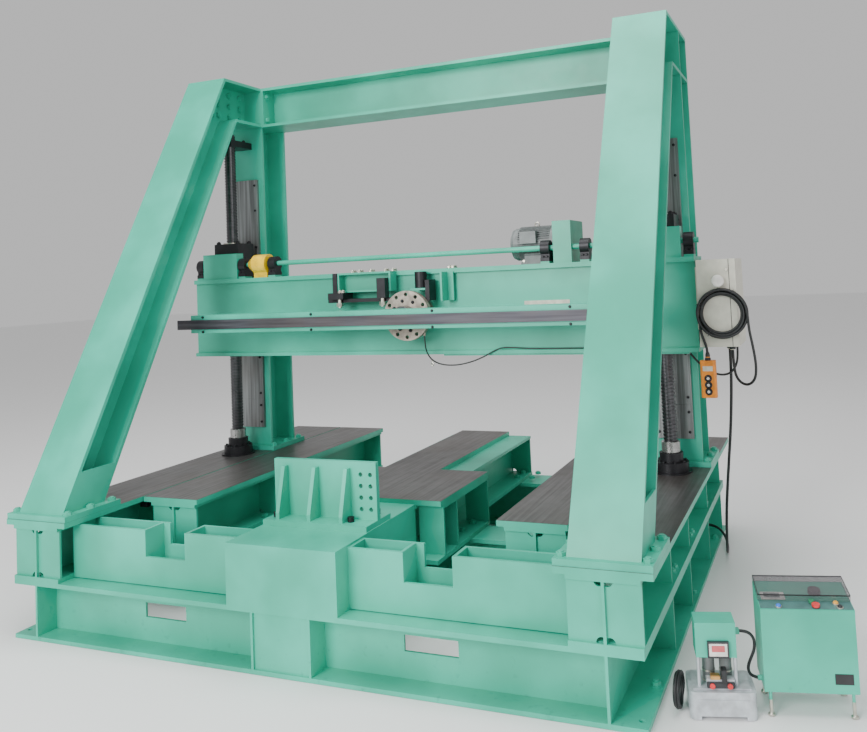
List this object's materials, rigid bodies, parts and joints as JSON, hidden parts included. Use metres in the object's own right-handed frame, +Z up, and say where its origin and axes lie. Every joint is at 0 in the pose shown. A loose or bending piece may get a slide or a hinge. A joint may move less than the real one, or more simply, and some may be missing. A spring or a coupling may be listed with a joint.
{
  "type": "horizontal loading press",
  "caption": "Large welded-steel loading press with a screw-lifted crosshead, a horizontal hydraulic ram, a power pack and a control console.",
  "frame": {"origin": "on the floor at the centre of the base", "axes": "+X along the crosshead, +Y from front to back, +Z up"},
  "size_m": [4.0774, 2.64, 3.155],
  "materials": {
    "green_paint": "satin",
    "machined_steel": "machined",
    "black_oxide": "satin",
    "screw_steel": "satin",
    "guard_yellow": "gloss",
    "motor_grey": "satin",
    "zinc": "satin",
    "cabinet_cream": "textured",
    "cable_black": "matte",
    "pendant_orange": "satin",
    "button_black": "gloss",
    "button_red": "gloss",
    "button_green": "gloss",
    "smoked_lid": "smoked",
    "tank_alloy": "cast",
    "meter_black": "satin"
  },
  "bodies": {
    "frame": {"lower_frame": "green_paint", "side_beam_left": "green_paint", "side_beam_right": "green_paint", "inner_beam_left": "green_paint", "inner_beam_right": "green_paint", "centre_beam": "green_paint", "centre_table_plate": "machined_steel", "notched_box_left": "green_paint", "notched_box_right": "green_paint", "reaction_bracket": "green_paint", "brace_left": "green_paint", "brace_right": "green_paint", "column_left": "green_paint", "column_right": "green_paint", "top_crossbeam": "green_paint", "guide_strips": "machined_steel", "lift_screw_left": "screw_steel", "lift_screw_right": "screw_steel", "screw_supports": "black_oxide", "frame_bolts": "green_paint", "bracket_screws": "black_oxide", "console_case": "green_paint", "pump_tank": "tank_alloy", "pump_cover": "green_paint", "pump_motor": "motor_grey", "pump_meter": "meter_black", "pump_coil": "cable_black", "pump_hose": "cable_black"},
    "crosshead": {"crosshead_beam": "green_paint", "nut_housings": "black_oxide", "worm_boxes": "green_paint", "shaft_bearings": "black_oxide", "coupling_guard": "guard_yellow", "lift_motor": "motor_grey", "drive_box": "green_paint", "ram_cylinder": "machined_steel", "ram_bracket": "green_paint", "ram_fittings": "black_oxide", "cabinet_shell": "cabinet_cream", "supply_cable": "cable_black", "sensor_cable": "cable_black"},
    "line_shaft": {"line_shaft": "green_paint"},
    "lift_nut_left": {"lift_nut_left": "zinc"},
    "lift_nut_right": {"lift_nut_right": "zinc"},
    "ram": {"ram_rod": "screw_steel", "loading_beam": "green_paint", "loading_strip": "black_oxide"},
    "cabinet_door": {"cabinet_door": "cabinet_cream", "cable_coil": "cable_black", "pendant_body": "pendant_orange", "pendant_cable": "cable_black"},
    "pendant_up": {"pendant_up_button": "button_black"},
    "pendant_down": {"pendant_down_button": "button_black"},
    "pendant_stop": {"pendant_stop_button": "button_black"},
    "console_lid": {"console_lid": "smoked_lid"},
    "console_stop": {"console_stop_button": "button_red"},
    "console_start": {"console_start_button": "button_green"},
    "console_dial": {"console_dial": "button_black"},
    "pump_knob_1": {"pump_knob_1": "button_red"},
    "pump_knob_2": {"pump_knob_2": "button_red"}
  },
  "joints": [
    {"name": "crosshead_lift", "type": "slide", "parent": "frame", "child": "crosshead", "axis": [0, 0, 1], "range_m": [-0.5, 0.3], "deforming": ["supply_cable"]},
    {"name": "nut_left_spin", "type": "hinge", "parent": "crosshead", "child": "lift_nut_left", "pos_m": [-1.485, 0.315, 1.92], "axis": [0, 0, 1], "continuous": true},
    {"name": "nut_right_spin", "type": "hinge", "parent": "crosshead", "child": "lift_nut_right", "pos_m": [1.485, 0.315, 1.92], "axis": [0, 0, 1], "continuous": true},
    {"name": "shaft_spin", "type": "hinge", "parent": "crosshead", "child": "line_shaft", "pos_m": [0, 0.22, 1.89], "axis": [1, 0, 0], "continuous": true},
    {"name": "ram_stroke", "type": "slide", "parent": "crosshead", "child": "ram", "axis": [0, -1, 0], "range_m": [0, 0.12]},
    {"name": "cabinet_door_hinge", "type": "hinge", "parent": "crosshead", "child": "cabinet_door", "pos_m": [1.708, 0.12, 1.5], "axis": [0, 0, -1], "range_deg": [0, 100], "deforming": ["pendant_cable"]},
    {"name": "pendant_up_press", "type": "slide", "parent": "cabinet_door", "child": "pendant_up", "axis": [0, 1, 0], "range_m": [0, 0.004], "stiffness_N_per_m": 500},
    {"name": "pendant_down_press", "type": "slide", "parent": "cabinet_door", "child": "pendant_down", "axis": [0, 1, 0], "range_m": [0, 0.004], "stiffness_N_per_m": 500},
    {"name": "pendant_stop_press", "type": "slide", "parent": "cabinet_door", "child": "pendant_stop", "axis": [0, 1, 0], "range_m": [0, 0.004], "stiffness_N_per_m": 500},
    {"name": "console_stop_press", "type": "slide", "parent": "frame", "child": "console_stop", "axis": [-0.0313, 0.1474, -0.9886], "range_m": [0, 0.004], "stiffness_N_per_m": 500},
    {"name": "console_start_press", "type": "slide", "parent": "frame", "child": "console_start", "axis": [-0.0313, 0.1474, -0.9886], "range_m": [0, 0.004], "stiffness_N_per_m": 500},
    {"name": "console_dial_turn", "type": "hinge", "parent": "frame", "child": "console_dial", "pos_m": [2.23502, -0.89032, 0.42687], "axis": [0.0313, -0.1474, 0.9886], "range_deg": [-150, 150]},
    {"name": "console_lid_hinge", "type": "hinge", "parent": "frame", "child": "console_lid", "pos_m": [1.99635, -0.84966, 0.44049], "axis": [-0.9781, -0.2079, 0], "range_deg": [0, 100]},
    {"name": "pump_knob_1_turn", "type": "hinge", "parent": "frame", "child": "pump_knob_1", "pos_m": [1.84904, -1.115, 0.122], "axis": [-0.2419, 0.9703, 0], "range_deg": [0, 330]},
    {"name": "pump_knob_2_turn", "type": "hinge", "parent": "frame", "child": "pump_knob_2", "pos_m": [1.91405, -1.09879, 0.122], "axis": [-0.2419, 0.9703, 0], "range_deg": [0, 330]}
  ],
  "couplings": [
    {"joint": "nut_left_spin", "follows": "crosshead_lift", "rad_per_m": 392.7},
    {"joint": "nut_right_spin", "follows": "crosshead_lift", "rad_per_m": 392.7},
    {"joint": "shaft_spin", "follows": "crosshead_lift", "rad_per_m": 1963.5}
  ]
}
